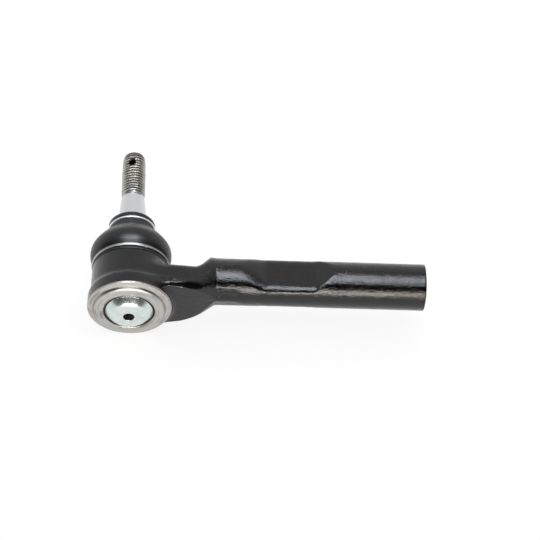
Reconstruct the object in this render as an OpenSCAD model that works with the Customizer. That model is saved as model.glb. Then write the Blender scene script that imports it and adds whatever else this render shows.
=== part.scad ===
// Outer tie rod end, threaded-socket type, lying on a bench.
// +X runs along the rod axis and out of the threaded bore, +Y along the ball stud
// towards its tip, +Z up. The origin is the centre of the bore's mouth.
// Heights called h are measured along the stud from the ball's centre.

/* [Rod arm] */
// Distance from the ball's centre to the mouth of the threaded bore
rod_len = 170; // [160:1:185]
// Outer diameter of the tubular shank
tube_d = 27; // [26:0.5:29]
// Wall radius of the M20x1.5 threaded bore
bore_r = 9.19; // [8.5:0.01:9.5]
// Depth of the threaded bore
bore_depth = 50; // [35:1:54]
// Width across the two wrench flats
flats_w = 17; // [16:0.5:19]
// Length of each wrench flat, without its ramps
flats_len = 28; // [18:1:30]

/* [Ball socket] */
// Outer diameter of the socket body at the boot end
socket_d = 44.4; // [44:0.2:46]
// Outer diameter of the socket body at the rolled lip
lip_d = 48; // [47:0.2:50]
// Diameter of the ball
ball_d = 30; // [28:0.1:30]
// Clear diameter inside the rolled lip
lip_open_d = 29.2; // [29:0.1:31]
// Height of the domed cover's crown above its rim
dome_rise = 4.6; // [3:0.1:6]

/* [Ball stud] */
// Nominal diameter of the stud's thread
stud_thread_d = 14; // [12:0.5:14]
// Largest diameter of the stud's taper
taper_d = 16.6; // [16:0.1:17]
// Distance from the ball's centre to the stud's tip
stud_len = 93.8; // [90:0.2:100]
// Diameter of the cotter hole
cotter_d = 3.8; // [3:0.1:4]

/* [Dust boot] */
// Largest diameter of the boot's bell
boot_d = 47.2; // [46:0.1:48]
// Wall of the rubber boot
boot_wall = 2; // [1.6:0.1:2.4]
// Wire diameter of the two boot rings
wire_d = 1.2; // [1:0.1:1.4]

/* [Hidden] */
$fn = 96;

ball_r = ball_d / 2;
socket_r = socket_d / 2;
lip_r = lip_d / 2;
tube_r = tube_d / 2;

// socket cavity
cavity_r = 18;
race_gap = 0.1;              // running gap of the races in the cavity
ball_gap = 0.05;             // running gap of the ball in the races
open_r = 14.2;               // stud opening on the boot side
spigot_r = 19.6;             // seat of the boot's collar
spigot_top = 10.2;
shoulder_h = 4.8;
cavity_top = 5.2;            // height where the cavity starts to close in
cover_seat_h = -20;          // inner face of the cover's flange
cover_t = 1.4;
flange_r = 18.9;
lip_in_h = -21.6;            // inner face of the rolled lip
lip_out_h = -24;

// domed cover
dome_r = 13.4;
dome_rim_h = -23.4;
port_r = 3.2;
dome_big_r = (dome_r * dome_r + dome_rise * dome_rise) / (2 * dome_rise);

// races
race_top_h = 8.6;
race_split_h = -0.6;
split_gap = 0.5;
race_low_h = -18.2;
race_in_r = ball_r + ball_gap;
cup_hole_r = 4;

// stud, as heights above the ball's centre
neck_r = 7.2;
neck_end_h = 22;
land_h = [36, 43];
land_r = taper_d / 2;
thread_r = stud_thread_d / 2;
taper_end_h = 59.4;
undercut_r = thread_r - 0.45;
undercut_h = [60.4, 62.4];
tip_chamfer = 1.4;
cotter_h = stud_len - 8.8;
cotter_turn = 11;            // the cotter hole leans this far from +Z, away from the shank
ball_flat_h = -13.4;

// boot and rings, as heights above the ball's centre
collar_h = [5.1, 10.2];
collar_in_r = spigot_r + 0.3;
lower_ring_h = [7.5, 8.6];
lower_ring_r = 22.3;
bell_h = 16.2;
upper_ring_h = 35.9;
upper_wire_d = wire_d + 0.3;
upper_ring_r = 13.35;

// shank and neck, as X measured from the bore's mouth
tube_start = 49;             // distance of the shank's root from the ball's centre
// neck sections: distance from the ball's centre, front depth (cover side), back depth (boot side),
// half width, corner radius at the front and at the back
NECK = [
    [14, 17.4, -0.4, 20.4, 3, 5],
    [27, 17.4, -0.4, 18.4, 3, 5],
    [34, 17.0, 0, 17.2, 3.4, 5],
    [39, 16.4, 1, 15.4, 4, 5],
    [44.5, 15.2, 8, 13.8, 6, 9.5],
    [tube_start + 0.1, tube_d / 2, tube_d / 2, tube_d / 2, tube_d / 2 - 0.1, tube_d / 2 - 0.1]
];
bore_chamfer = 1;
drill_angle = 118;
flats_mid = -78;
ramp_len = 10.2;

// arc points about (cx, cy), from angle a0 to angle a1
function arc(cx, cy, r, a0, a1, n = 12) =
    [for (i = [0 : n]) let (a = a0 + (a1 - a0) * i / n) [cx + r * cos(a), cy + r * sin(a)]];

// points of a smooth curve that eases from a to b
function ease(a, b, n = 6) =
    [for (i = [0 : n]) let (t = i / n, s = (1 - cos(180 * t)) / 2) [a[0] + (b[0] - a[0]) * s, a[1] + (b[1] - a[1]) * t]];

// places a solid drawn round +Z with the ball's centre at zero onto the stud's axis
module on_stud_axis() {
    translate([-rod_len, 0, 0]) rotate([-90, 0, 0]) children();
}

module turned(points) {
    rotate_extrude() polygon(points);
}

// ---- housing ----

module socket_outside() {
    turned([
        [0, cover_seat_h],
        [0, lip_out_h + 1.2],
        [lip_open_d / 2, lip_out_h],
        [lip_open_d / 2 + 3.6, lip_out_h + 0.3],
        [lip_open_d / 2 + 5.2, lip_out_h + 1.4],
        [lip_r - 1.2, lip_out_h + 2.6],
        [lip_r, -20.2],
        [lip_r - 0.3, -12],
        [socket_r + 1.2, -10],
        [socket_r + 0.4, -6],
        [socket_r, -1],
        [socket_r, 2.6],
        [socket_r - 1.2, shoulder_h],
        [spigot_r, shoulder_h],
        [spigot_r, spigot_top - 0.6],
        [spigot_r - 0.6, spigot_top],
        [0, spigot_top]
    ]);
}

module socket_inside() {
    turned([
        [0, lip_out_h - 1],
        [lip_open_d / 2, lip_out_h - 1],
        [lip_open_d / 2, lip_in_h],
        [flange_r + 0.1, lip_in_h],
        [flange_r + 0.1, cover_seat_h],
        [cavity_r, cover_seat_h],
        [cavity_r, cavity_top],
        [open_r, cavity_top + cavity_r - open_r],
        [open_r, spigot_top + 1],
        [0, spigot_top + 1]
    ]);
}

// one cross-section of the neck: a rectangle with its own corner radii at the front and the back
module neck_slice(s) {
    front = -s[1];
    back = s[2];
    half = s[3];
    rf = s[4];
    rb = s[5];
    translate([s[0] - rod_len, 0, 0]) rotate([90, 0, 90])
        linear_extrude(0.1)
            polygon(concat(
                arc(front + rf, half - rf, rf, 180, 90, 6),
                arc(back - rb, half - rb, rb, 90, 0, 6),
                arc(back - rb, rb - half, rb, 0, -90, 6),
                arc(front + rf, rf - half, rf, -90, -180, 6)
            ));
}

module neck() {
    for (i = [0 : len(NECK) - 2])
        hull() {
            neck_slice(NECK[i]);
            neck_slice(NECK[i + 1]);
        }
}

module wrench_flat() {
    half = flats_len / 2;
    depth = tube_r - flats_w / 2;
    translate([flats_mid, tube_r + 1, flats_w / 2]) rotate([90, 0, 0])
        linear_extrude(tube_d + 2)
            polygon([
                [-half, 0], [half, 0],
                [half + ramp_len + ramp_len / depth, depth + 1],
                [-half - ramp_len - ramp_len / depth, depth + 1]
            ]);
}

module threaded_bore() {
    tip = bore_r / tan(drill_angle / 2);
    rotate([0, -90, 0]) turned([
        [0, -1],
        [bore_r + bore_chamfer + 1, -1],
        [bore_r, bore_chamfer],
        [bore_r, bore_depth],
        [0, bore_depth + tip]
    ]);
}

module housing() color([0.13, 0.13, 0.14]) difference() {
    union() {
        on_stud_axis() socket_outside();
        neck();
        translate([tube_start - rod_len, 0, 0]) rotate([0, 90, 0]) cylinder(r = tube_r, h = rod_len - tube_start);
    }
    on_stud_axis() socket_inside();
    threaded_bore();
    wrench_flat();
    mirror([0, 0, 1]) wrench_flat();
}

// ---- closing cover and its seal ----

module end_cover() color([0.80, 0.83, 0.86]) on_stud_axis() {
    half = asin(dome_r / dome_big_r);
    port = asin(port_r / dome_big_r);
    in_r = dome_big_r - cover_t;
    in_half = asin((dome_r - cover_t) / in_r);
    in_port = asin(port_r / in_r);
    mid_h = dome_rim_h - dome_rise + dome_big_r;
    turned(concat(
        [[flange_r, cover_seat_h], [flange_r, cover_seat_h - cover_t + 0.05], [dome_r, cover_seat_h - cover_t + 0.05]],
        arc(0, mid_h, dome_big_r, half - 90, port - 90),
        arc(0, mid_h, in_r, in_port - 90, in_half - 90),
        [[dome_r - cover_t, cover_seat_h]]
    ));
}

module cover_seal() color([0.05, 0.05, 0.05]) on_stud_axis() {
    turned([
        [dome_r + 0.05, dome_rim_h + 0.2],
        [dome_r + 0.05, cover_seat_h - cover_t],
        [lip_open_d / 2 - 0.05, cover_seat_h - cover_t],
        [lip_open_d / 2 - 0.05, dome_rim_h + 0.2]
    ]);
}

// ---- bearing: two races and the preload spring ----

module upper_race() color([0.92, 0.91, 0.86]) on_stud_axis() {
    outer = cavity_r - race_gap;
    a0 = asin(race_split_h / race_in_r);
    a1 = asin(race_top_h / race_in_r);
    turned(concat(
        arc(0, 0, race_in_r, a0, a1, 16),
        [
            [cavity_r + cavity_top - 0.2 - race_top_h, race_top_h],
            [outer, cavity_top - 0.1],
            [outer, race_split_h]
        ]
    ));
}

module lower_race() color([0.92, 0.91, 0.86]) on_stud_axis() {
    outer = cavity_r - race_gap;
    top = race_split_h - split_gap;
    a0 = asin(top / race_in_r);
    a1 = -acos(cup_hole_r / race_in_r);
    difference() {
        turned(concat(
            arc(0, 0, race_in_r, a0, a1, 20),
            [[cup_hole_r, race_low_h], [outer - 3, race_low_h], [outer, race_low_h + 3], [outer, top]]
        ));
        // seat of the preload spring
        translate([0, 0, race_low_h - 1]) difference() {
            cylinder(r = 10.6, h = 2);
            translate([0, 0, -1]) cylinder(r = 6.6, h = 4);
        }
    }
}

// conical compression spring, wider at the lower race
module preload_spring() color([0.55, 0.56, 0.58]) on_stud_axis() {
    wire = 1.8;
    turns = 2.5;
    steps = 28;
    sides = 10;
    top = [9, race_low_h + 1 - wire / 2 - 0.05];
    foot = [6.4, -24.55];
    count = turns * steps;
    points = [
        for (i = [0 : count], k = [0 : sides - 1])
            let (
                t = i / count,
                a = 360 * turns * t,
                r = top[0] + (foot[0] - top[0]) * t + wire / 2 * cos(360 * k / sides),
                z = top[1] + (foot[1] - top[1]) * t + wire / 2 * sin(360 * k / sides)
            )
            [r * cos(a), r * sin(a), z]
    ];
    faces = concat(
        [[for (k = [0 : sides - 1]) k]],
        [[for (k = [sides - 1 : -1 : 0]) count * sides + k]],
        [
            for (i = [0 : count - 1], k = [0 : sides - 1])
                let (a = i * sides, b = a + sides, n = (k + 1) % sides)
                [a + n, a + k, b + k, b + n]
        ]
    );
    polyhedron(points, faces);
}

// ---- ball stud ----

module stud_body() {
    a0 = asin(ball_flat_h / ball_r);
    a1 = acos(neck_r / ball_r);
    turned(concat(
        [[0, ball_flat_h]],
        arc(0, 0, ball_r, a0, a1, 28),
        ease([neck_r, neck_end_h], [land_r, land_h[0]]),
        [
            [land_r, land_h[1]],
            [thread_r, taper_end_h],
            [undercut_r, undercut_h[0]],
            [undercut_r, undercut_h[1]],
            [thread_r, undercut_h[1] + 0.6],
            [thread_r, stud_len - tip_chamfer],
            [thread_r - 1.5, stud_len],
            [0, stud_len]
        ]
    ));
}

module ball_stud() color([0.72, 0.71, 0.69]) on_stud_axis() difference() {
    stud_body();
    translate([0, 0, cotter_h]) rotate([90, 0, -cotter_turn])
        translate([0, 0, -stud_thread_d]) cylinder(d = cotter_d, h = 2 * stud_thread_d);
}

// ---- dust boot and its two wire rings ----

module dust_boot() color([0.12, 0.12, 0.12]) on_stud_axis() {
    bell_r = boot_d / 2;
    neck_r = upper_ring_r - 0.15;
    outside = [
        [collar_in_r, collar_h[0]], [22.2, collar_h[0]], [22.3, 6.4],
        [lower_ring_r - wire_d / 2 - 0.05, 6.9], [lower_ring_r - wire_d / 2 - 0.05, 9.3],
        [bell_r - 1.6, 9.9], [bell_r - 0.9, 11.6], [bell_r - 0.3, 13.8],
        [bell_r, bell_h], [bell_r - 0.1, 18], [bell_r - 0.7, 20], [bell_r - 1.9, 22.1],
        [20.4, 24], [18.9, 26.1], [17, 28], [15, 29.6], [13.8, 30.8], [neck_r, 32.2], [neck_r, 34.5],
        [upper_ring_r - upper_wire_d / 2 - 0.1, upper_ring_h - 0.9],
        [upper_ring_r - upper_wire_d / 2 - 0.1, upper_ring_h + 0.9],
        [13.7, 37.4], [13.7, 39.3], [12.8, 40.6], [land_r + 1.2, 41.1], [land_r + 0.1, 40.4]
    ];
    inside = [
        [land_r + 0.1, 36.2], [10.4, 34.8], [neck_r - boot_wall, 33.6], [neck_r - boot_wall, 31.6],
        [12.2, 29.8], [14, 28.2], [16.4, 25.9], [bell_r - 3 - boot_wall, 23.2],
        [bell_r - 1.4 - boot_wall, 21], [bell_r - 0.4 - boot_wall, 18.8],
        [bell_r - boot_wall, bell_h], [bell_r - 0.4 - boot_wall, 13.8], [20.4, 11.6], [collar_in_r, collar_h[1]]
    ];
    turned(concat(outside, inside));
}

module boot_lower_ring() color([0.86, 0.87, 0.88]) on_stud_axis()
    rotate_extrude()
        for (h = lower_ring_h)
            translate([lower_ring_r, h]) circle(d = wire_d, $fn = 32);

module boot_upper_ring() color([0.86, 0.87, 0.88]) on_stud_axis()
    rotate_extrude()
        translate([upper_ring_r, upper_ring_h]) circle(d = upper_wire_d, $fn = 32);

housing();
end_cover();
cover_seal();
preload_spring();
lower_race();
upper_race();
ball_stud();
dust_boot();
boot_lower_ring();
boot_upper_ring();
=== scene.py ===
"""Looks of the tie rod end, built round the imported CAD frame.

Lengths in the code are in millimetres and turn into metres where a mesh is made.
The row frame: +X out of the threaded bore, +Y along the stud, +Z up; the origin is the bore's mouth.
An h is a height along the stud above the ball's centre, and an r a distance from the stud's axis.
"""
import math

import bmesh
import bpy
import numpy as np
import openvdb
from mathutils import Matrix, Vector


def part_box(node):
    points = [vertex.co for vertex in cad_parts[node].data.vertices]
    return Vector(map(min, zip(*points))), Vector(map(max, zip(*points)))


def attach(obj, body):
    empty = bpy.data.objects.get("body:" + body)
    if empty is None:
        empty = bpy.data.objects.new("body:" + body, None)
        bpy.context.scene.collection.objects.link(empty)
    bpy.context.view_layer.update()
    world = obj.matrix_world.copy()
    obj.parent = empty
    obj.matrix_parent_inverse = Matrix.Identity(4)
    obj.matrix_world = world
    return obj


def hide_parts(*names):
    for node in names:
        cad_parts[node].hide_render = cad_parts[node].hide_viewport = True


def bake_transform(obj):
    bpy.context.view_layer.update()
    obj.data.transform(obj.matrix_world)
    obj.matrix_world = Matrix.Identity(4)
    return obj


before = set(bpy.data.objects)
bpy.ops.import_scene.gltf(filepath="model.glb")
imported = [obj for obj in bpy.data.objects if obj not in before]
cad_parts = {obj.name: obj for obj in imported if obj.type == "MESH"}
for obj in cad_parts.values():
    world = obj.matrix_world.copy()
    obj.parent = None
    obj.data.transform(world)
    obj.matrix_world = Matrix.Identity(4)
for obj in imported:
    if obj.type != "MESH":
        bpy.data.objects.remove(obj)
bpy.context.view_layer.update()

MM = 0.001
TAU = 2 * math.pi
ROD_LEN = -500 * (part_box("ball_stud")[0].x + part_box("ball_stud")[1].x)
STUD_TIP = 1000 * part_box("ball_stud")[1].y
FLOOR_Z = 1000 * min(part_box(node)[0].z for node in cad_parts)


# ------------------------------------------------------------------ outlines and meshes

def arc(centre, radius, start, end, count=8):
    """Points of an arc, angles in degrees."""
    angles = np.radians(np.linspace(start, end, count + 1))
    return [(centre[0] + radius * math.cos(a), centre[1] + radius * math.sin(a)) for a in angles]


def rounded(points, radius, closed=True, steps=4):
    """The outline with each corner replaced by an arc; a point's third number is its own radius."""
    nearly_straight = math.pi - 0.03
    out = []
    count = len(points)
    for i, point in enumerate(points):
        p = np.array(point[:2], float)
        r = point[2] if len(point) > 2 else radius
        if r <= 0 or (not closed and i in (0, count - 1)):
            out.append(tuple(p))
            continue
        before = np.array(points[i - 1][:2], float) - p
        after = np.array(points[(i + 1) % count][:2], float) - p
        len_before, len_after = np.linalg.norm(before), np.linalg.norm(after)
        before, after = before / len_before, after / len_after
        corner = math.acos(max(-1.0, min(1.0, float(before @ after))))
        if corner > nearly_straight:
            out.append(tuple(p))
            continue
        reach = min(r / math.tan(corner / 2), 0.45 * len_before, 0.45 * len_after)
        r = reach * math.tan(corner / 2)
        to_centre = (before + after) / np.linalg.norm(before + after)
        centre = p + to_centre * r / math.sin(corner / 2)
        a, b = p + before * reach - centre, p + after * reach - centre
        swing = math.pi - corner
        for k in range(steps + 1):
            t = k / steps
            spoke = a * math.sin((1 - t) * swing) + b * math.sin(t * swing)
            out.append(tuple(centre + spoke / math.sin(swing)))
    return out


def smooth_curve(points, per_span=6):
    """Catmull-Rom curve through the points."""
    p = np.array([points[0]] + list(points) + [points[-1]], float)
    out = []
    for i in range(1, len(p) - 2):
        for t in np.linspace(0, 1, per_span, endpoint=False):
            a, b, c, d = p[i - 1], p[i], p[i + 1], p[i + 2]
            out.append(tuple(0.5 * (2 * b + (c - a) * t + (2 * a - 5 * b + 4 * c - d) * t ** 2
                                    + (3 * b - a - 3 * c + d) * t ** 3)))
    return out + [tuple(p[-2])]


def make_object(name, verts, faces):
    """A smooth-shaded object from points in millimetres."""
    mesh = bpy.data.meshes.new(name)
    mesh.from_pydata((np.asarray(verts, float) * MM).tolist(), [], faces)
    mesh.update()
    mesh.shade_smooth()
    obj = bpy.data.objects.new(name, mesh)
    bpy.context.scene.collection.objects.link(obj)
    return obj


def clean(obj, distance=2e-6):
    """Merges doubled points, drops empty faces and turns the normals outward."""
    bm = bmesh.new()
    bm.from_mesh(obj.data)
    bmesh.ops.remove_doubles(bm, verts=bm.verts, dist=distance)
    bmesh.ops.dissolve_degenerate(bm, edges=bm.edges, dist=distance)
    bmesh.ops.recalc_face_normals(bm, faces=bm.faces)
    bm.to_mesh(obj.data)
    bm.free()
    return obj


def sharpen(obj, degrees=38):
    """Smooth shading that breaks at edges steeper than the angle."""
    obj.data.shade_smooth()
    obj.data.set_sharp_from_angle(angle=math.radians(degrees))
    return obj


def on_stud(r, h, a):
    """Row-frame point of a solid turned on the stud's axis; the angle turns about +Y."""
    return -ROD_LEN + r * np.cos(a), h + 0 * a, -r * np.sin(a)


def in_bore(r, h, a):
    """The same for the shank's bore, with h the depth below its mouth."""
    return -h + 0 * a, r * np.cos(a), -r * np.sin(a)


class Skin:
    """Collects rings of points round an axis and the faces between them."""

    def __init__(self, place, segments):
        self.place = place
        self.segments = segments
        self.angles = np.arange(segments) / segments * TAU
        self.verts = []
        self.faces = []

    def ring(self, r, h):
        """Adds one ring; r and h are numbers, or arrays with a value for each angle."""
        start = len(self.verts)
        flat = 0 * self.angles
        self.verts += list(zip(*self.place(r + flat, h + flat, self.angles)))
        return start

    def outline(self, points, closed=False):
        """Turns (r, h) points; points on the axis collapse into a pole when the skin is cleaned."""
        starts = [self.ring(r, h) for r, h in points]
        if closed:
            starts.append(starts[0])
        n = self.segments
        for a, b in zip(starts, starts[1:]):
            self.faces += [[a + k, a + (k + 1) % n, b + (k + 1) % n, b + k] for k in range(n)]

    def thread(self, start, end, pitch, major, minor, rim, per_pitch, limit=((0, 1e3), (1, 1e3))):
        """A thread whose rows follow the helix. It grows from radius rim at both ends by 45 degree
        chamfers, and stays inside the line of (h, r) points that limit gives."""
        n = self.segments
        turn = self.angles / TAU
        count = math.ceil((end - start) / pitch * per_pitch)
        starts = {}
        for i in range(-per_pitch, count + per_pitch + 1):
            h = np.clip(start + (i / per_pitch + turn) * pitch, start, end)
            r = np.minimum(thread_radius(i / per_pitch, major, minor),
                           rim + np.minimum(h - start, end - h))
            r = np.minimum(r, np.interp(h, *zip(*limit)))
            starts[i] = self.ring(r, h)
        for i in range(-per_pitch, count):
            a, b = starts[i], starts[i + 1]
            self.faces += [[a + k, a + k + 1, b + k + 1, b + k] for k in range(n - 1)]
            self.faces.append([a + n - 1, starts[i + per_pitch], starts[i + per_pitch + 1], b + n - 1])

    def object(self, name):
        return clean(make_object(name, self.verts, self.faces))


def thread_radius(phase, major, minor):
    """Radius of the thread at a phase counted in pitches: flat crest, flank, rounded root."""
    t = abs((phase % 1.0) - 0.5) * 2
    crest, root, flank = 0.2, 0.9, 0.8
    s = min(1.0, max(0.0, (t - crest) / (root - crest)))
    if s > flank:
        s = flank + (1 - flank) * math.sin((s - flank) / (1 - flank) * math.pi / 2)
    return major - (major - minor) * s


def turned(name, points, segments=144, closed=True):
    """A solid turned on the stud's axis from (r, h) points."""
    skin = Skin(on_stud, segments)
    skin.outline(points, closed)
    return skin.object(name)


def apply_modifiers(obj):
    """Bakes the object's modifiers into its mesh."""
    depsgraph = bpy.context.evaluated_depsgraph_get()
    mesh = bpy.data.meshes.new_from_object(obj.evaluated_get(depsgraph))
    obj.modifiers.clear()
    obj.data = mesh
    return obj


def cut(obj, *cutters):
    """Takes the cutters away from the object, one after another."""
    for cutter in cutters:
        modifier = obj.modifiers.new("cut", "BOOLEAN")
        modifier.operation = "DIFFERENCE"
        modifier.solver = "MANIFOLD"
        modifier.object = cutter
        apply_modifiers(obj)
        bpy.data.objects.remove(cutter)
    return obj


# ------------------------------------------------------------------ forged housing

TUBE_R = 13.5
FLAT_Z = 8.5
FLAT_MID = -78.0
FLAT_HALF = 14.0
RAMP_LEN = 10.2
BORE_MINOR_R = 9.19
BORE_MAJOR_R = 9.92
BORE_PITCH = 1.5
BORE_DEPTH = 50.0
BORE_CHAMFER = 1.0
DRILL_HALF_ANGLE = math.radians(59)
SPIGOT_R = 19.6
SPIGOT_TOP = 10.2
SHOULDER_H = 4.8
LIP_H = -20.2
CAVITY_R = 18.0
COVER_SEAT_H = -20.0
COVER_SEAT_R = 19.0
LIP_OPEN_R = 14.6
STUD_OPEN_R = 14.2
SOCKET_FILLET = 4.5
BEYOND = 30.0

# arm sections: distance from the ball's centre, front depth (cover side), back depth (boot side),
# half width, corner radius at the front and at the back
ARM = [
    (0, 17.0, -0.4, 17.5, 1.2, 5.0),
    (14, 17.4, -0.4, 18.4, 1.2, 5.0),
    (22, 17.6, -0.5, 18.5, 1.2, 5.0),
    (28, 17.5, -0.4, 18.0, 1.3, 5.0),
    (33.5, 17.0, 0.0, 16.9, 1.8, 4.8),
    (37.3, 16.3, 0.9, 15.6, 3.0, 4.8),
    (40.6, 15.5, 4.2, 14.5, 5.0, 6.4),
    (43.6, 14.7, 9.4, 13.95, 7.5, 9.8),
    (46.6, 13.9, 13.6, 13.85, 11.0, 13.3),
    (49.2, 13.5, 13.55, 13.6, 13.3, 13.4),
    (56, 13.48, 13.48, 13.48, 13.45, 13.45),
    (200, 13.48, 13.48, 13.48, 13.45, 13.45),
]

# depth of the bevel on the neck's two front edges: (distance from the ball's centre, depth)
BEVEL = [(0, 0.2), (17, 0.6), (20, 0.95), (24, 1.4), (29, 1.7), (35, 2.1), (40, 2.2), (44, 1.3),
         (48, -3), (200, -3)]
BEVEL_TILT = math.radians(41)

# height of the parting line: (distance from the ball's centre, y)
PARTING = [(0, -12.6), (10, -12.4), (16.3, -12.0), (24.3, -12.9), (32.4, -13.6), (38.4, -9.5),
           (44.5, -4.6), (52, 0.4), (62, 2.0), (75, 2.4), (200, 2.4)]
PARTING_HEIGHT = 0.15
PARTING_WIDTH = 0.55
PARTING_END = 72.0

# forged outside of the socket: (h, r)
SOCKET = [(-24.0, 23.9), (-20.0, 23.9), (-15.6, 23.85), (-13.6, 23.7), (-12.5, 23.25), (-11.4, 22.75),
          (-10.0, 22.5), (-5, 22.3), (0.0, 22.15), (11.0, 22.0)]


def monotone(xs, ys, x):
    """Smooth monotone interpolation (cubic Hermite) of given stations."""
    xs, ys = np.array(xs, float), np.array(ys, float)
    step = np.diff(xs)
    slope = np.diff(ys) / step
    tangent = np.zeros_like(ys)
    same = slope[1:] * slope[:-1] > 0
    w1, w2 = 2 * step[1:] + step[:-1], step[1:] + 2 * step[:-1]
    product = np.where(same, slope[1:] * slope[:-1], 1.0)
    total = np.where(same, w1 * slope[1:] + w2 * slope[:-1], 1.0)
    tangent[1:-1] = np.where(same, (w1 + w2) * product / total, 0)
    i = np.clip(np.searchsorted(xs, x) - 1, 0, len(xs) - 2)
    t = np.clip((x - xs[i]) / step[i], 0, 1)
    return ((2 * t ** 3 - 3 * t ** 2 + 1) * ys[i] + (t ** 3 - 2 * t ** 2 + t) * step[i] * tangent[i]
            + (3 * t ** 2 - 2 * t ** 3) * ys[i + 1] + (t ** 3 - t ** 2) * step[i] * tangent[i + 1])


def smooth_min(a, b, k):
    """Union of two distances with a fillet of about k."""
    s = np.clip(0.5 + 0.5 * (b - a) / k, 0, 1)
    return b + (a - b) * s - k * s * (1 - s)


def smooth_max(a, b, k):
    """Intersection of two distances, rounded in the same way."""
    return -smooth_min(-a, -b, k)


def arm_distance(x, y, z):
    """Signed distance to the neck and shank before the wrench flats are milled."""
    along = x + ROD_LEN
    stations = [s[0] for s in ARM]
    front, back, half, r_front, r_back = (
        monotone(stations, [s[i] for s in ARM], along) for i in range(1, 6))
    mid, depth = (back - front) / 2, (back + front) / 2
    r = np.where(y < mid, r_front, r_back)
    across = np.abs(y - mid) - depth + r
    side = np.abs(z) - half + r
    inside = np.minimum(np.maximum(across, side), 0)
    body = inside + np.hypot(np.maximum(across, 0), np.maximum(side, 0)) - r
    cut_depth = monotone(*zip(*BEVEL), along)
    sin_tilt, cos_tilt = math.sin(BEVEL_TILT), math.cos(BEVEL_TILT)
    bevel = np.abs(z) * cos_tilt - y * sin_tilt - (half * cos_tilt + front * sin_tilt - cut_depth)
    body = smooth_max(body, bevel, 0.5)
    # shallow facet where the neck's front face runs out on the shank
    fade = 0.12 * np.maximum(x + 110, 0) + 0.6 * np.maximum(-121 - x, 0)
    facet = np.abs(z) * 0.342 - y * 0.94 - 13.04 - fade
    off_line = (y - monotone(*zip(*PARTING), along)) / PARTING_WIDTH
    bead = PARTING_HEIGHT * np.exp(-off_line ** 2) * np.clip((PARTING_END - along) / 14, 0, 1)
    return smooth_max(body, facet, 0.3) - bead


def flat_distance(x, z):
    """Signed distance that keeps what lies between the wrench flats and their ramps."""
    rise = TUBE_R - FLAT_Z
    ramp = smooth_max(np.abs(x - FLAT_MID) - FLAT_HALF, 0 * x, 1.2)
    slope = math.hypot(rise, RAMP_LEN)
    return (np.abs(z) - FLAT_Z - ramp * rise / RAMP_LEN) * RAMP_LEN / slope


def socket_distance(x, y, z):
    """Signed distance to the forged outside of the socket, a little longer than it is machined."""
    rho = np.hypot(x + ROD_LEN, z)
    radius = monotone([p[0] for p in SOCKET], [p[1] for p in SOCKET], y)
    return np.maximum(np.maximum((rho - radius) * 0.98, y - SPIGOT_TOP - 0.6), -25.2 - y)


def ripples(x, y, z):
    """Low swells of a hot-forged skin, a few hundredths of a millimetre."""
    long = (np.sin(0.31 * x + 1.3 * np.sin(0.17 * z)) * np.sin(0.43 * y + 0.6)
            * np.sin(0.37 * z + 0.21 * x))
    short = np.sin(0.83 * x + 0.5 * z) * np.sin(0.71 * z - 0.4 * y + 1.1)
    return 0.04 * long + 0.02 * short


def forging_distance(x, y, z):
    """Signed distance to the whole forging. The flats' edges are rounder than the outer ramp's,
    and the ramp on the neck's side is the roundest."""
    shank = np.maximum(arm_distance(x, y, z), -ROD_LEN - x)
    on_flat = np.clip((FLAT_HALF + 3 - np.abs(x - FLAT_MID)) / 4, 0, 1)
    neck_side = np.clip((FLAT_MID - x) / 4, 0, 1)
    edge = 0.7 + 1.7 * on_flat + 3.0 * (1 - on_flat) * neck_side
    swell = ripples(x, y, z)
    shank = smooth_max(shank, flat_distance(x, z), edge) + swell
    shank = smooth_max(shank, x, 0.15)
    return smooth_min(shank, socket_distance(x, y, z) + 0.5 * swell, SOCKET_FILLET)


def forged_blank(name):
    """Meshes the forging's distance field and pulls every point onto its true surface."""
    low = np.array([-ROD_LEN - 26.5, -27.0, -26.5])
    high = np.array([2.0, 16.0, 26.5])
    step = np.array([0.72, 0.5, 0.5])
    far, probe, least_slope, longest_move = 5.0, 0.02, 0.25, 0.4
    axes = [np.arange(a, b, s) for a, b, s in zip(low, high, step)]
    x, y, z = np.meshgrid(*axes, indexing="ij")
    grid = openvdb.FloatGrid(far)
    grid.copyFromArray(forging_distance(x, y, z).astype(np.float32))
    points, quads = grid.convertToQuads(0.0)
    points = low + np.asarray(points, float) * step
    for _ in range(3):
        value = forging_distance(*points.T)
        slope = np.stack([
            (forging_distance(*(points + d).T) - forging_distance(*(points - d).T)) / (2 * probe)
            for d in np.eye(3) * probe
        ], 1)
        move = value / np.maximum((slope ** 2).sum(1), least_slope)
        points -= np.clip(move, -longest_move, longest_move)[:, None] * slope
    return clean(make_object(name, points, quads.tolist()))


def lip_cutter():
    """Everything outside the turned and rolled lip on the cover side."""
    lip = [
        (BEYOND, LIP_H), (23.7, LIP_H, 0.3), (23.9, LIP_H - 0.9, 0.5), (20.9, LIP_H - 1.5, 0.4),
        (20.2, LIP_H - 2.6, 0.5), (19.3, LIP_H - 3.1, 0.6), (LIP_OPEN_R + 1.2, LIP_H - 3.8, 0.8),
        (LIP_OPEN_R + 0.25, LIP_H - 3.6, 0.4), (LIP_OPEN_R - 0.6, LIP_H - 2.6),
        (LIP_OPEN_R - 0.6, -28), (BEYOND, -28),
    ]
    return turned("lip_cutter", rounded(lip, 0.2, steps=5), 192)


def seat_cutter():
    """The turned spigot that the boot's collar sits on."""
    seat = [
        (BEYOND, SHOULDER_H + 1.6), (21.6, SHOULDER_H, 0.4), (SPIGOT_R, SHOULDER_H, 0.4),
        (SPIGOT_R, SPIGOT_TOP, 0.5), (14.0, SPIGOT_TOP), (14.0, 14), (BEYOND, 14),
    ]
    return turned("seat_cutter", rounded(seat, 0.2), 192)


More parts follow.
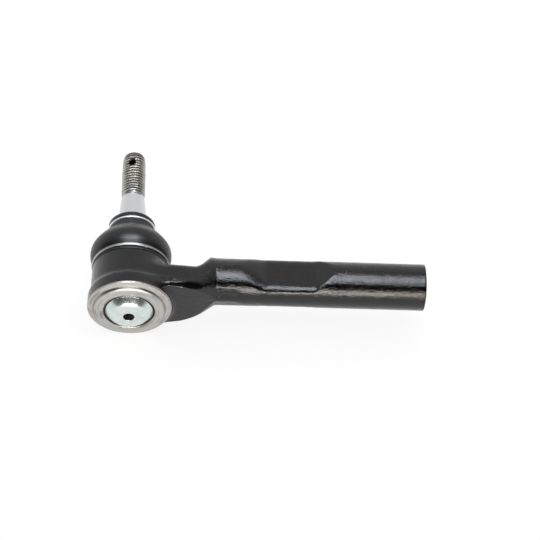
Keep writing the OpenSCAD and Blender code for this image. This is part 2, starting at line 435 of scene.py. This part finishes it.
def cavity_cutter():
    """The lip's opening, the groove for the cover's flange, the cavity and the stud's opening."""
    groove_h = COVER_SEAT_H - 1.6
    cavity = [
        (0, -BEYOND), (LIP_OPEN_R, -BEYOND), (LIP_OPEN_R, groove_h), (COVER_SEAT_R, groove_h),
        (COVER_SEAT_R, COVER_SEAT_H), (CAVITY_R, COVER_SEAT_H), (CAVITY_R, 5.2), (STUD_OPEN_R, 9.0),
        (STUD_OPEN_R, 14), (0, 14),
    ]
    return turned("cavity_cutter", cavity, 160)


def bore_cutter():
    """The tapped hole: mouth chamfer, M20x1.5 thread, drill point."""
    tapped = BORE_DEPTH - 4
    skin = Skin(in_bore, 96)
    skin.outline([(0, -2), (BORE_MINOR_R + BORE_CHAMFER + 2, -2), (BORE_MINOR_R, BORE_CHAMFER)])
    skin.thread(BORE_CHAMFER, tapped, BORE_PITCH, BORE_MAJOR_R, BORE_MINOR_R, BORE_MINOR_R, 6)
    skin.outline([(BORE_MINOR_R, tapped), (BORE_MINOR_R, BORE_DEPTH),
                  (0, BORE_DEPTH + BORE_MINOR_R / math.tan(DRILL_HALF_ANGLE))])
    return skin.object("bore_cutter")


def build_housing():
    housing = forged_blank("socket_forging")
    cut(housing, cavity_cutter(), seat_cutter(), bore_cutter(), lip_cutter())
    clean(housing, 1e-6)
    return sharpen(housing, 50)


# ------------------------------------------------------------------ ball stud

BALL_R = 15.0
BALL_FLAT_H = -13.4
NECK_R = 7.2
STUD_R = 7.0
STUD_MINOR_R = 5.78
STUD_PITCH = 2.0
LAND_R = 8.3
THREAD_FROM = 60.8
COTTER_R = 1.9
COTTER_H = STUD_TIP - 8.8
COTTER_LEAN = math.radians(11)


def cotter_cutter():
    """The cross hole with a countersink at each mouth, along its own leaning axis."""
    def place(r, h, a):
        x, y, z = r * np.cos(a), r * np.sin(a), h + 0 * a
        return (-ROD_LEN + x * math.cos(COTTER_LEAN) - z * math.sin(COTTER_LEAN), COTTER_H + y,
                x * math.sin(COTTER_LEAN) + z * math.cos(COTTER_LEAN))
    mouth, end = STUD_R - 1.35, 9
    wide = COTTER_R + end - mouth
    skin = Skin(place, 48)
    skin.outline([(0, -end), (wide, -end), (COTTER_R, -mouth), (COTTER_R, mouth), (wide, end), (0, end)])
    return skin.object("cotter_cutter")


def build_stud():
    """Ball, neck, taper, run-out groove and a thread that dies away on the rounded tip."""
    ball_from = math.degrees(math.asin(BALL_FLAT_H / BALL_R))
    ball_to = math.degrees(math.acos(NECK_R / BALL_R))
    thread_to = STUD_TIP - 0.7
    ball = arc((0, 0), BALL_R, ball_from, ball_to, 40)
    shank = smooth_curve([(NECK_R, 14.0), (NECK_R, 18), (7.25, 22), (7.7, 29), (8.2, 34), (LAND_R, 36),
                          (LAND_R, 39)], 4)
    cone = rounded([(LAND_R, 40), (LAND_R, 43, 3), (STUD_R, 58.9, 0.25), (6.85, 59.3, 0.3),
                    (6.62, 59.7, 0.3), (6.55, THREAD_FROM - 0.5, 0.3), (6.3, THREAD_FROM - 0.3)],
                   0.3, closed=False)
    crests = [(THREAD_FROM, 6.2), (THREAD_FROM + 1.5, 6.8), (THREAD_FROM + 3, STUD_R), (82, STUD_R),
              (87, 6.9), (90, 6.66), (92, 6.3), (93.1, 5.86), (STUD_TIP - 0.2, STUD_MINOR_R)]
    skin = Skin(on_stud, 120)
    skin.outline([(0, BALL_FLAT_H)] + ball + shank + cone + [(STUD_MINOR_R, THREAD_FROM)])
    skin.thread(THREAD_FROM, thread_to, STUD_PITCH, STUD_R, STUD_MINOR_R, STUD_MINOR_R, 14, crests)
    skin.outline([(STUD_MINOR_R, thread_to), (5.3, STUD_TIP - 0.3), (4.6, STUD_TIP - 0.05),
                  (4.0, STUD_TIP), (1.6, STUD_TIP), (1.2, STUD_TIP - 0.3), (0, STUD_TIP - 1.0)])
    stud = skin.object("threaded_stud")
    cut(stud, cotter_cutter())
    return sharpen(clean(stud, 1e-6), 40)


# ------------------------------------------------------------------ cover, seal, bearing

def build_cover():
    """Pressed cover: flat flange under the lip, a domed middle and a rolled round port."""
    outside = smooth_curve([(13.35, -23.42), (12.6, -24.24), (11.8, -25.08), (11.0, -25.85),
                            (10.4, -26.34), (9.8, -26.71), (9.1, -27.0), (8.2, -27.23), (6.5, -27.45),
                            (3.9, -27.58)], 4)
    inside = smooth_curve([(3.3, -26.3), (5.6, -25.95), (7.6, -25.5), (9.0, -24.9), (9.9, -24.2),
                           (10.6, -23.4), (11.3, -22.5)], 4)
    outline = ([(18.8, -20.05, 0.3), (18.8, -21.35, 0.3), (13.45, -21.35, 0.4), (13.45, -23.36, 0.1)]
               + [(r, h, 0) for r, h in outside]
               + [(3.22, -27.64, 0.35), (3.2, -26.25, 0.3)]
               + [(r, h, 0) for r, h in inside] + [(12.0, -21.4, 0.6), (12.2, -20.05, 0.3)])
    return sharpen(turned("domed_cover", rounded(outline, 0.2), 160), 45)


def build_seal():
    """Rubber ring between the cover's dome and the lip."""
    profile = rounded([(13.47, -21.4), (14.53, -21.4), (14.5, -22.6, 0.35), (14.0, -22.85, 0.3),
                       (13.5, -22.6, 0.35)], 0.1)
    return turned("cover_sealing_ring", profile, 144)


def build_races():
    """Two moulded races with grease grooves cut along the ball's meridians."""
    inner, outer = BALL_R + 0.05, CAVITY_R - 0.1
    split, top, low_top, bottom, seat = -0.6, 8.6, -1.1, -18.2, -17.2
    hole_r, spring_from, spring_to = 4, 6.6, 10.6

    def latitude(h):
        return math.degrees(math.asin(h / inner))

    upper = arc((0, 0), inner, latitude(split), latitude(top), 16)
    upper += [(14.5, top), (outer, 5.1), (outer, split)]
    lower = arc((0, 0), inner, latitude(low_top), -math.degrees(math.acos(hole_r / inner)), 20)
    lower += [(hole_r, bottom), (spring_from, bottom), (spring_from, seat), (spring_to, seat),
              (spring_to, bottom), (outer - 3, bottom), (outer, -15.2), (outer, low_top)]
    grooves, groove_at, groove_r = 6, 15.4, 0.9
    races = []
    for name, outline in (("bearing_race_upper", upper), ("bearing_cup_lower", lower)):
        race = turned(name, outline, 128)
        for k in range(grooves):
            a = TAU * k / grooves
            x, z = -ROD_LEN + groove_at * math.cos(a), groove_at * math.sin(a)
            groove = Skin(lambda r, h, t: (x + r * np.cos(t), h + 0 * t, z + r * np.sin(t)), 16)
            groove.outline([(0, -12), (groove_r, -12), (groove_r, 7), (0, 7)])
            cut(race, groove.object("groove_cutter"))
        races.append(sharpen(clean(race), 40))
    return races


def sweep(name, path, radius, sides):
    """A round wire along a path of points, closed with flat ends."""
    path = np.array(path, float)
    tangent = np.gradient(path, axis=0)
    tangent /= np.linalg.norm(tangent, axis=1)[:, None]
    axis = np.array([0.0, 1.0, 0.0])
    side = np.cross(tangent, axis)
    side /= np.linalg.norm(side, axis=1)[:, None]
    up = np.cross(side, tangent)
    verts, faces = [], []
    angles = np.arange(sides) / sides * TAU
    for p, s, u in zip(path, side, up):
        verts += [tuple(p + radius * (math.cos(a) * s + math.sin(a) * u)) for a in angles]
    for i in range(len(path) - 1):
        for k in range(sides):
            n = (k + 1) % sides
            near, far = i * sides, (i + 1) * sides
            faces.append([near + k, near + n, far + n, far + k])
    faces.append(list(range(sides)))
    faces.append([len(verts) - 1 - k for k in range(sides)])
    return sharpen(clean(make_object(name, verts, faces)), 50)


SPRING_TOP = -18.15
SPRING_LOW = -24.55


def build_spring():
    """Conical spring between the cup, at its wide end, and the cover's dome."""
    turns, wire = 2.5, 1.8
    wide_r, narrow_r = 9, 6.4
    t = np.linspace(0, 1, 200)
    r = wide_r + (narrow_r - wide_r) * t
    h = SPRING_TOP + (SPRING_LOW - SPRING_TOP) * t
    a = TAU * turns * t
    return sweep("preload_spring_coil", np.stack(on_stud(r, h, a), 1), wire / 2, 16)


# ------------------------------------------------------------------ dust boot and rings

def build_boot():
    """Bell-shaped boot: collar with the lower ring's groove, bell, neck groove and a lip on the stud."""
    groove_low, groove_top, grip_r = 21.66, 12.55, 8.42
    bell = smooth_curve([(21.3, 9.8), (21.65, 10.4), (22.15, 11.2), (22.7, 12.2), (23.15, 13.4),
                         (23.43, 14.7), (23.56, 16.4), (23.45, 18.2), (22.9, 20.1), (21.75, 22.1),
                         (20.4, 24.1), (18.9, 26.1), (17.0, 28.0), (15.1, 29.6), (13.9, 30.9),
                         (13.3, 32.3), (13.15, 34.0), (13.2, 34.8)], 5)
    collar = rounded([(20.0, 10.0, 0.2), (19.92, 5.3, 0.4), (22.1, 5.3, 0.6), (22.2, 6.5, 0.5),
                      (groove_low, 6.9, 0.3), (groove_low, 9.2, 0.3)], 0.3, closed=False)
    lip = rounded([(13.2, 34.95, 0.1), (groove_top, 35.15, 0.3), (groove_top, 36.7, 0.3),
                   (13.5, 36.9, 0.4), (13.68, 39.2, 0.9), (12.6, 40.45, 1.2), (9.8, 40.95, 0.5),
                   (9.2, 40.5, 0.3), (grip_r, 40.2, 0.3), (grip_r, 36.2, 0.4), (10.4, 34.9, 0.8)],
                  0.4, closed=False)
    inside = smooth_curve([(11.2, 33.4), (11.3, 31.4), (12.6, 29.5), (14.8, 27.5), (17.2, 25.0),
                           (19.2, 22.4), (20.8, 19.8), (21.5, 16.6), (21.2, 13.8), (20.6, 11.4)], 5)
    boot = turned("rubber_boot", collar[1:] + bell + lip + inside + [collar[0]], 176)
    return sharpen(boot, 60)


def wire_ring(name, radius, heights, wire, turns, start_angle):
    """A round wire wound side by side, whose ends stop short of each other."""
    flat_end, tuck = 0.1, 0.3
    t = np.linspace(0, 1, int(150 * turns))
    rise = np.clip((t * turns - flat_end) / max(turns - 2 * flat_end, flat_end), 0, 1)
    h = heights[0] + (heights[1] - heights[0]) * rise
    a = start_angle + TAU * turns * t
    return sweep(name, np.stack(on_stud(radius + tuck * (rise - 1), h, a), 1), wire / 2, 14)


# ------------------------------------------------------------------ materials

# most values of a noise texture lie between these two
NOISE_LOW, NOISE_HIGH = 0.3, 0.7


def node_material(name):
    """A new material with its node tree and its Principled shader."""
    material = bpy.data.materials.new(name)
    material.use_nodes = True
    tree = material.node_tree
    return material, tree, tree.nodes["Principled BSDF"]


def add(tree, kind, inputs=None, **settings):
    """Adds a node. Sockets among the inputs are linked to it, and other values are set on it."""
    node = tree.nodes.new(kind)
    for key, value in settings.items():
        setattr(node, key, value)
    for key, value in (inputs or {}).items():
        if isinstance(value, bpy.types.NodeSocket):
            tree.links.new(value, node.inputs[key])
        else:
            node.inputs[key].default_value = value
    return node


def math_node(tree, operation, a, b):
    """The result of a two-input Math node."""
    return add(tree, "ShaderNodeMath", {0: a, 1: b}, operation=operation).outputs[0]


def combine(tree, x, y, z=0.0):
    """A vector made of three values."""
    return add(tree, "ShaderNodeCombineXYZ", {"X": x, "Y": y, "Z": z}).outputs[0]


def value_ramp(tree, fac, low, high, start, end):
    """A value that runs from low to high while fac runs from start to end."""
    return add(tree, "ShaderNodeMapRange", {"Value": fac, "From Min": start, "From Max": end,
                                            "To Min": low, "To Max": high}).outputs["Result"]


def noise(tree, scale_mm, detail, rough, vector=None):
    """3-D noise, in object space unless a vector is given, whose blobs are about scale_mm wide."""
    if vector is None:
        vector = add(tree, "ShaderNodeTexCoord").outputs["Object"]
    return add(tree, "ShaderNodeTexNoise", {"Vector": vector, "Scale": 1000 / scale_mm,
                                            "Detail": detail, "Roughness": rough}).outputs["Fac"]


def varied(tree, scale_mm, detail, low, high):
    """A value that wanders between low and high."""
    return value_ramp(tree, noise(tree, scale_mm, detail, 0.6), low, high, NOISE_LOW, NOISE_HIGH)


def grey(value):
    """A neutral colour."""
    return (value, value, value)


def ramp(tree, fac, stops):
    """A colour ramp through (position, colour) stops."""
    node = add(tree, "ShaderNodeValToRGB", {"Fac": fac})
    elements = node.color_ramp.elements
    for element, (position, color) in zip(elements, (stops[0], stops[-1])):
        element.position, element.color = position, (*color, 1)
    for position, color in stops[1:-1]:
        elements.new(position).color = (*color, 1)
    return node.outputs["Color"]


def mix(tree, fac, a, b, blend_type="MIX"):
    """Mixes two colours."""
    return add(tree, "ShaderNodeMix", {0: fac, 6: a, 7: b}, data_type="RGBA",
               blend_type=blend_type).outputs[2]


def multiply(tree, color, *filters):
    """The colour darkened by each filter in turn."""
    for tint in filters:
        color = mix(tree, 1.0, color, tint, "MULTIPLY")
    return color


def surface(tree, shader, color, rough, metallic=0.0):
    """Links colour and roughness to the shader."""
    tree.links.new(color, shader.inputs["Base Color"])
    tree.links.new(rough, shader.inputs["Roughness"])
    shader.inputs["Metallic"].default_value = metallic


def bump(tree, shader, *layers):
    """Stacks (height, strength, distance in mm) bumps onto the shader."""
    normal = None
    for height, strength, distance in layers:
        inputs = {"Height": height, "Strength": strength, "Distance": distance * MM}
        if normal is not None:
            inputs["Normal"] = normal
        normal = add(tree, "ShaderNodeBump", inputs).outputs["Normal"]
    tree.links.new(normal, shader.inputs["Normal"])


def row_position(tree):
    """The three coordinates of a point in the row frame, in metres."""
    point = add(tree, "ShaderNodeTexCoord").outputs["Object"]
    return add(tree, "ShaderNodeSeparateXYZ", {"Vector": point}).outputs


def length(tree, a, b):
    """Length of the vector with these two components."""
    return add(tree, "ShaderNodeVectorMath", {0: combine(tree, a, b)}, operation="LENGTH").outputs["Value"]


def from_stud_axis(tree):
    """(x, h, z): x and z across from the stud's axis and h along it, in metres."""
    x, h, z = row_position(tree)
    return math_node(tree, "ADD", x, ROD_LEN * MM), h, z


def paint_material():
    """Gloss black enamel over a forged skin: fine orange peel, a few duller patches."""
    material, tree, shader = node_material("gloss_black_paint")
    color = ramp(tree, noise(tree, 16, 4, 0.6), [(0.3, (0.0032, 0.0034, 0.0038)),
                                                 (0.7, (0.0062, 0.0062, 0.0066))])
    surface(tree, shader, color, varied(tree, 3.5, 4, 0.10, 0.17))
    bump(tree, shader, (noise(tree, 0.85, 1, 0.5), 1.0, 0.2), (noise(tree, 2.1, 1, 0.5), 1.0, 0.08),
         (noise(tree, 11, 2, 0.5), 0.6, 0.2))
    return material


def turned_steel_material():
    """Bare lathe-turned lip: tool lines round it, short smears along them, a tan heat tint and a
    dark ring of painted shade at the root where the rolled lip rises."""
    material, tree, shader = node_material("turned_lip_steel")
    root_shade_from, root_shade_to = 19.9 * MM, 21.5 * MM
    x, h, z = from_stud_axis(tree)
    r = length(tree, x, z)
    angle = math_node(tree, "ARCTAN2", z, x)
    line = noise(tree, 0.5, 3, 0.7, combine(tree, r, h))
    smear = noise(tree, 1.1, 3, 0.6, combine(tree, r, h, math_node(tree, "MULTIPLY", angle, 0.0016)))
    tint = noise(tree, 9, 3, 0.6)
    wavy_r = math_node(tree, "ADD", r, math_node(tree, "MULTIPLY", tint, 0.0004))
    steel = ramp(tree, tint, [(0.3, (0.46, 0.455, 0.435)), (0.55, (0.53, 0.525, 0.51)),
                              (0.75, (0.46, 0.44, 0.40))])
    shade = ramp(tree, line, [(0.3, grey(0.88)), (0.7, grey(1.0))])
    # painted shade: a darker ring at the foot of the rolled lip's step, between these radii
    root = ramp(tree, value_ramp(tree, wavy_r, 0, 1, root_shade_from, root_shade_to),
                [(0.0, grey(1.0)), (0.45, grey(0.5)), (0.9, grey(1.0))])
    soot = ramp(tree, smear, [(0.34, (0.62, 0.58, 0.53)), (0.48, (0.95, 0.94, 0.93)), (0.7, grey(1.0))])
    rough = value_ramp(tree, smear, 0.26, 0.42, NOISE_LOW, NOISE_HIGH)
    surface(tree, shader, multiply(tree, steel, shade, root, soot), rough, 1.0)
    bump(tree, shader, (line, 0.4, 0.03), (smear, 0.5, 0.05), (noise(tree, 0.8, 3, 0.6), 0.2, 0.02))
    return material


def bore_material():
    """Tapped thread in bare steel: light at the crests, near black towards the roots."""
    material, tree, shader = node_material("tapped_bore_steel")
    _, y, z = row_position(tree)
    depth = value_ramp(tree, length(tree, y, z), 0, 1, BORE_MINOR_R * MM, BORE_MAJOR_R * MM)
    steel = ramp(tree, depth, [(0.0, (0.56, 0.55, 0.53)), (0.3, (0.34, 0.33, 0.31)),
                               (0.8, (0.05, 0.047, 0.042))])
    stain = ramp(tree, noise(tree, 6, 4, 0.6), [(0.3, (0.7, 0.67, 0.62)), (0.65, grey(1.0))])
    surface(tree, shader, multiply(tree, steel, stain), varied(tree, 1.2, 3, 0.28, 0.42), 1.0)
    bump(tree, shader, (noise(tree, 0.5, 3, 0.6), 0.2, 0.012))
    return material


def zinc_material():
    """Bluish zinc plate with a faint spangle."""
    material, tree, shader = node_material("blue_zinc_plate")
    color = ramp(tree, noise(tree, 4.5, 3, 0.55), [(0.3, (0.56, 0.625, 0.61)), (0.7, (0.68, 0.75, 0.735))])
    surface(tree, shader, color, varied(tree, 1.6, 4, 0.22, 0.32), 1.0)
    bump(tree, shader, (noise(tree, 2.5, 2, 0.5), 0.15, 0.012), (noise(tree, 0.3, 2, 0.5), 0.1, 0.002))
    return material


def rubber_material(name, rough_low, rough_high):
    """Black rubber that turns a dull lighter grey on the boot's upper half, below its top lip."""
    material, tree, shader = node_material(name)
    black, upper_grey = 0.006, (0.02, 0.021, 0.021)
    upper_grey_from, upper_grey_full, lip_from, lip_full = 22.0 * MM, 29.0 * MM, 35.5 * MM, 36.5 * MM
    h = from_stud_axis(tree)[1]
    rubber = ramp(tree, noise(tree, 7, 5, 0.65), [(0.35, grey(black)), (0.62, grey(black * 1.35)),
                                                  (0.8, grey(black * 2.2))])
    dull = ramp(tree, noise(tree, 3, 4, 0.6), [(0.3, tuple(0.7 * c for c in upper_grey)),
                                               (0.7, tuple(1.3 * c for c in upper_grey))])
    # mixes towards the lighter grey going up the stud, and back to black under the top lip
    amount = math_node(tree, "MULTIPLY", value_ramp(tree, h, 0, 1, upper_grey_from, upper_grey_full),
                       value_ramp(tree, h, 1, 0, lip_from, lip_full))
    rough = math_node(tree, "ADD", varied(tree, 2.2, 4, rough_low, rough_high),
                      math_node(tree, "MULTIPLY", amount, 0.12))
    surface(tree, shader, mix(tree, amount, rubber, dull), rough)
    bump(tree, shader, (noise(tree, 0.35, 3, 0.6), 0.4, 0.02), (noise(tree, 3.5, 2, 0.5), 0.3, 0.06))
    return material


def stud_material():
    """Ground taper, and a rolled thread whose roots are painted near black as shade, with a faint warm
    tint.
    """
    material, tree, shader = node_material("ground_stud_steel")
    x, h, z = from_stud_axis(tree)
    r = length(tree, x, z)
    streak = noise(tree, 0.4, 3, 0.7, combine(tree, r, h))
    ground = ramp(tree, streak, [(0.3, (0.60, 0.612, 0.625)), (0.7, (0.645, 0.66, 0.675))])
    # painted shade: colour by radius, the thread's roots near black and its crests light steel
    thread = ramp(tree, value_ramp(tree, r, 0, 1, STUD_MINOR_R * MM, STUD_R * MM),
                  [(0.0, (0.035, 0.032, 0.028)), (0.35, (0.10, 0.095, 0.085)), (0.7, (0.42, 0.41, 0.385)),
                   (1.0, (0.62, 0.615, 0.585))])
    stain = ramp(tree, noise(tree, 4.5, 4, 0.65), [(0.3, (0.62, 0.60, 0.55)), (0.6, grey(1.0))])
    on_thread = value_ramp(tree, h, 0, 1, (THREAD_FROM + 0.2) * MM, (THREAD_FROM + 2.5) * MM)
    color = mix(tree, on_thread, ground, multiply(tree, thread, stain))
    surface(tree, shader, color, varied(tree, 1.5, 4, 0.30, 0.38), 1.0)
    bump(tree, shader, (streak, 0.15, 0.01), (noise(tree, 0.5, 3, 0.6), 0.1, 0.006))
    return material


def wire_material(name, tone, rough):
    """Drawn steel wire, a little uneven in tone."""
    material, tree, shader = node_material(name)
    color = ramp(tree, noise(tree, 2.0, 3, 0.6), [(0.3, tuple(0.88 * c for c in tone)), (0.7, tone)])
    surface(tree, shader, color, varied(tree, 0.8, 3, rough, rough + 0.1), 1.0)
    bump(tree, shader, (noise(tree, 0.3, 2, 0.5), 0.2, 0.01))
    return material


def race_material():
    """Cream acetal plastic."""
    material, tree, shader = node_material("cream_acetal")
    color = ramp(tree, noise(tree, 5, 4, 0.6), [(0.3, (0.80, 0.78, 0.70)), (0.7, (0.86, 0.85, 0.79))])
    surface(tree, shader, color, varied(tree, 1.4, 3, 0.36, 0.5))
    bump(tree, shader, (noise(tree, 0.4, 3, 0.5), 0.2, 0.01))
    return material


def floor_material():
    """Opal light table: it glows evenly, so the part stands on plain white."""
    material, tree, shader = node_material("opal_floor")
    color = ramp(tree, noise(tree, 400, 2, 0.5), [(0.3, grey(0.29)), (0.7, grey(0.31))])
    tree.links.new(color, shader.inputs["Base Color"])
    shader.inputs["Roughness"].default_value = 0.9
    shader.inputs["Specular IOR Level"].default_value = 0.1
    shader.inputs["Emission Color"].default_value = (1, 1, 1, 1)
    shader.inputs["Emission Strength"].default_value = 0.88
    return material


def give(obj, *materials):
    """Replaces the object's materials."""
    obj.data.materials.clear()
    for material in materials:
        obj.data.materials.append(material)


def mark_faces(obj, index, test):
    """Gives the material at index to each face whose centre (x, y, z, in mm) passes the test."""
    count = len(obj.data.polygons)
    centres = np.empty(count * 3, np.float32)
    obj.data.polygons.foreach_get("center", centres)
    chosen = test(*(centres.reshape(-1, 3).T * 1000.0))
    current = np.empty(count, np.int32)
    obj.data.polygons.foreach_get("material_index", current)
    obj.data.polygons.foreach_set("material_index", np.where(chosen, index, current).astype(np.int32))


# ------------------------------------------------------------------ the pieces

def assign(obj, body, slot, *replaced):
    """Puts the piece on its body and hides the CAD nodes it stands for. The slot is not used."""
    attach(obj, body)
    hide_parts(*replaced)


housing = build_housing()
give(housing, paint_material(), turned_steel_material(), bore_material())
mark_faces(housing, 1, lambda x, y, z: (y < LIP_H + 0.02) | (np.hypot(x + ROD_LEN, z) < CAVITY_R + 0.2))
mark_faces(housing, 2, lambda x, y, z: (np.hypot(y, z) < BORE_MAJOR_R + 0.05) & (x > -BORE_DEPTH - 8))
assign(housing, "socket", "black_paint", "housing")

cover = build_cover()
give(cover, zinc_material())
assign(cover, "socket", "zinc_plate", "end_cover")

seal = build_seal()
give(seal, rubber_material("seal_rubber", 0.5, 0.6))
assign(seal, "socket", "black_rubber", "cover_seal")

upper_race, lower_race = build_races()
acetal = race_material()
give(upper_race, acetal)
give(lower_race, acetal)
assign(upper_race, "socket", "race_plastic", "upper_race")
assign(lower_race, "cup", "race_plastic", "lower_race")

spring = build_spring()
give(spring, wire_material("dark_spring_steel", (0.36, 0.36, 0.37), 0.3))
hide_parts("preload_spring")
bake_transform(spring)

stud = build_stud()
give(stud, stud_material())
assign(stud, "stud", "bare_steel", "ball_stud")

lower_ring = wire_ring("boot_ring_lower", radius=22.3, heights=(7.5, 8.7), wire=0.8, turns=2.3,
                       start_angle=-0.35)
give(lower_ring, wire_material("dull_zinc_wire", (0.46, 0.465, 0.465), 0.28))
assign(lower_ring, "boot", "ring_wire", "boot_lower_ring")
upper_ring = wire_ring("boot_ring_upper", radius=13.35, heights=(35.9, 35.9), wire=1.45, turns=0.985,
                       start_angle=1.57)
give(upper_ring, wire_material("bright_zinc_wire", (0.90, 0.905, 0.91), 0.4))
assign(upper_ring, "boot_top", "ring_wire", "boot_upper_ring")

boot = build_boot()
give(boot, rubber_material("boot_rubber", 0.3, 0.4))
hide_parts("dust_boot")
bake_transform(boot)


# ------------------------------------------------------------------ floor, light, camera

# the studio's walls: (lean from straight up towards the camera's side in degrees, brightness)
WALLS = [(-180, 1.0), (-95, 1.0), (-80, 0.85), (-36, 0.85), (-26, 0.5), (-10, 0.5), (16, 0.5),
         (28, 0.008), (60, 0.008), (84, 0.2), (92, 1.0), (180, 1.0)]
STRIP_LEANS = (-8.5, 1.0, 10.5, 20.0)
COOL_WHITE, WARM_WHITE = (0.87, 0.93, 1.0), (1.0, 0.93, 0.85)


def build_floor():
    """A large table under the part's lowest point."""
    half, z = 4.0, FLOOR_Z * MM
    mesh = bpy.data.meshes.new("floor")
    mesh.from_pydata([(-half, -half, z), (half, -half, z), (half, half, z), (-half, half, z)], [],
                     [[0, 1, 2, 3]])
    floor = bpy.data.objects.new("floor", mesh)
    bpy.context.scene.collection.objects.link(floor)
    give(floor, floor_material())


def build_world():
    """A white studio: bright walls and table, with a darker room above the camera's side."""
    world = bpy.data.worlds.new("studio")
    bpy.context.scene.world = world
    world.use_nodes = True
    tree = world.node_tree
    background = tree.nodes["Background"]
    direction = add(tree, "ShaderNodeTexCoord").outputs["Generated"]
    _, y, z = add(tree, "ShaderNodeSeparateXYZ", {"Vector": direction}).outputs
    lean = math_node(tree, "ARCTAN2", math_node(tree, "MULTIPLY", y, -1.0), z)
    fac = value_ramp(tree, lean, 0, 1, -math.pi, math.pi)
    color = ramp(tree, fac, [((a + 180) / 360, grey(v)) for a, v in WALLS])
    tree.links.new(color, background.inputs["Color"])
    background.inputs["Strength"].default_value = 1.05


def soft_box(name, lean, distance, size, radiance, color, side=0.0):
    """Hangs a soft box round the part, facing it, that shows only in reflections. Its lean is the
    angle from straight up towards the camera's side, and side moves it along the shank."""
    middle = Vector((-0.09 + side, 0.0, 0.0))
    a = math.radians(lean)
    centre = middle + Vector((0, -math.sin(a), math.cos(a))) * distance
    data = bpy.data.lights.new(name, "AREA")
    data.shape = "RECTANGLE"
    data.size, data.size_y = size
    data.energy = radiance * math.pi * size[0] * size[1]
    data.color = color
    light = bpy.data.objects.new(name, data)
    bpy.context.scene.collection.objects.link(light)
    light.location = centre
    light.rotation_euler = (middle - centre).to_track_quat("-Z", "Y").to_euler()
    light.visible_diffuse = False
    light.visible_camera = False


def build_camera():
    """Pinhole camera above the cover's side, rolled a little, aimed by an offset from the origin."""
    azimuth, elevation, roll = (math.radians(a) for a in (-5.964, 51.006, 6.347))
    distance, aim_right, aim_up = 1105.8, -89.161, 10.275
    across = Vector((math.cos(azimuth), math.sin(azimuth), 0))
    level = Vector((-math.sin(azimuth), math.cos(azimuth), 0))
    up0 = level * math.sin(elevation) + Vector((0, 0, math.cos(elevation)))
    forward = level * math.cos(elevation) - Vector((0, 0, math.sin(elevation)))
    right = across * math.cos(roll) + up0 * math.sin(roll)
    up = up0 * math.cos(roll) - across * math.sin(roll)
    data = bpy.data.cameras.new("camera")
    data.lens = 126.9
    data.sensor_width = 36
    data.clip_start, data.clip_end = 0.05, 20
    camera = bpy.data.objects.new("camera", data)
    bpy.context.scene.collection.objects.link(camera)
    eye = (right * aim_right + up * aim_up - forward * distance) * MM
    turn = Matrix((right, up, -forward)).transposed().to_4x4()
    camera.matrix_world = Matrix.Translation(eye) @ turn
    bpy.context.scene.camera = camera


build_floor()
build_world()
for number, lean in enumerate(STRIP_LEANS):
    soft_box(f"overhead_strip_{number}", lean, distance=1.5, size=(1.02, 0.144), radiance=14.0,
             color=COOL_WHITE, side=-0.08)
soft_box("front_soft_box", 76.5, distance=1.6, size=(1.2, 0.42), radiance=12.5, color=WARM_WHITE)
build_camera()
bpy.context.scene.view_settings.view_transform = "Standard"
